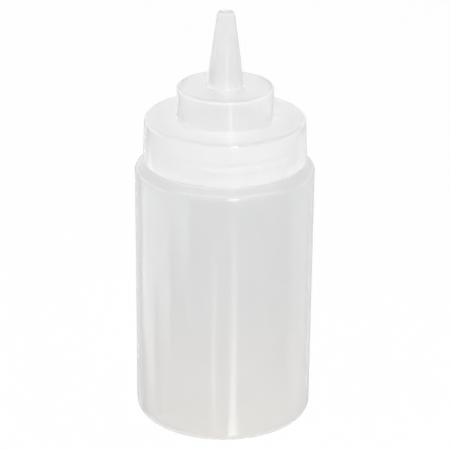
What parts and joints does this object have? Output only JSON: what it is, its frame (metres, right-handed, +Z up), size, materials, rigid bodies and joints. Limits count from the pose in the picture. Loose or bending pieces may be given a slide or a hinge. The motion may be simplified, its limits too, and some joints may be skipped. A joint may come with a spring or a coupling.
{
  "type": "squeeze bottle",
  "caption": "Wide-mouth translucent squeeze bottle with a straight round body and a screw-on cap whose stepped drum carries a tapering cone nozzle.",
  "frame": {"origin": "centre of the bottle's foot, on the surface that it stands on", "axes": "+Z up along the common axis of bottle and cap, towards the nozzle's outlet; +X and -X pass through the bottle's two parting lines"},
  "size_m": [0.0768, 0.0764, 0.1815],
  "materials": {
    "bottle_plastic": "natural translucent low-density polyethylene, blow-moulded, satin gloss",
    "cap_plastic": "natural milky low-density polyethylene, injection-moulded, satin gloss",
    "seal_rubber": "milky translucent soft food-grade elastomer, smooth"
  },
  "bodies": {
    "bottle": {"bottle": "bottle_plastic"},
    "seal": {"seal_ring": "seal_rubber"},
    "cap": {"nozzle_cap": "cap_plastic"}
  },
  "joints": [
    {"name": "cap_lift", "type": "slide", "parent": "bottle", "child": "seal", "axis": [0, 0, 1], "range_m": [0, 0.02117]},
    {"name": "cap_turn", "type": "hinge", "parent": "seal", "child": "cap", "pos_m": [0, 0, 0.1338], "axis": [0, 0, 1], "range_deg": [0, 1800]}
  ],
  "couplings": [
    {"joint": "cap_lift", "follows": "cap_turn", "m_per_rad": 0.00067375}
  ]
}
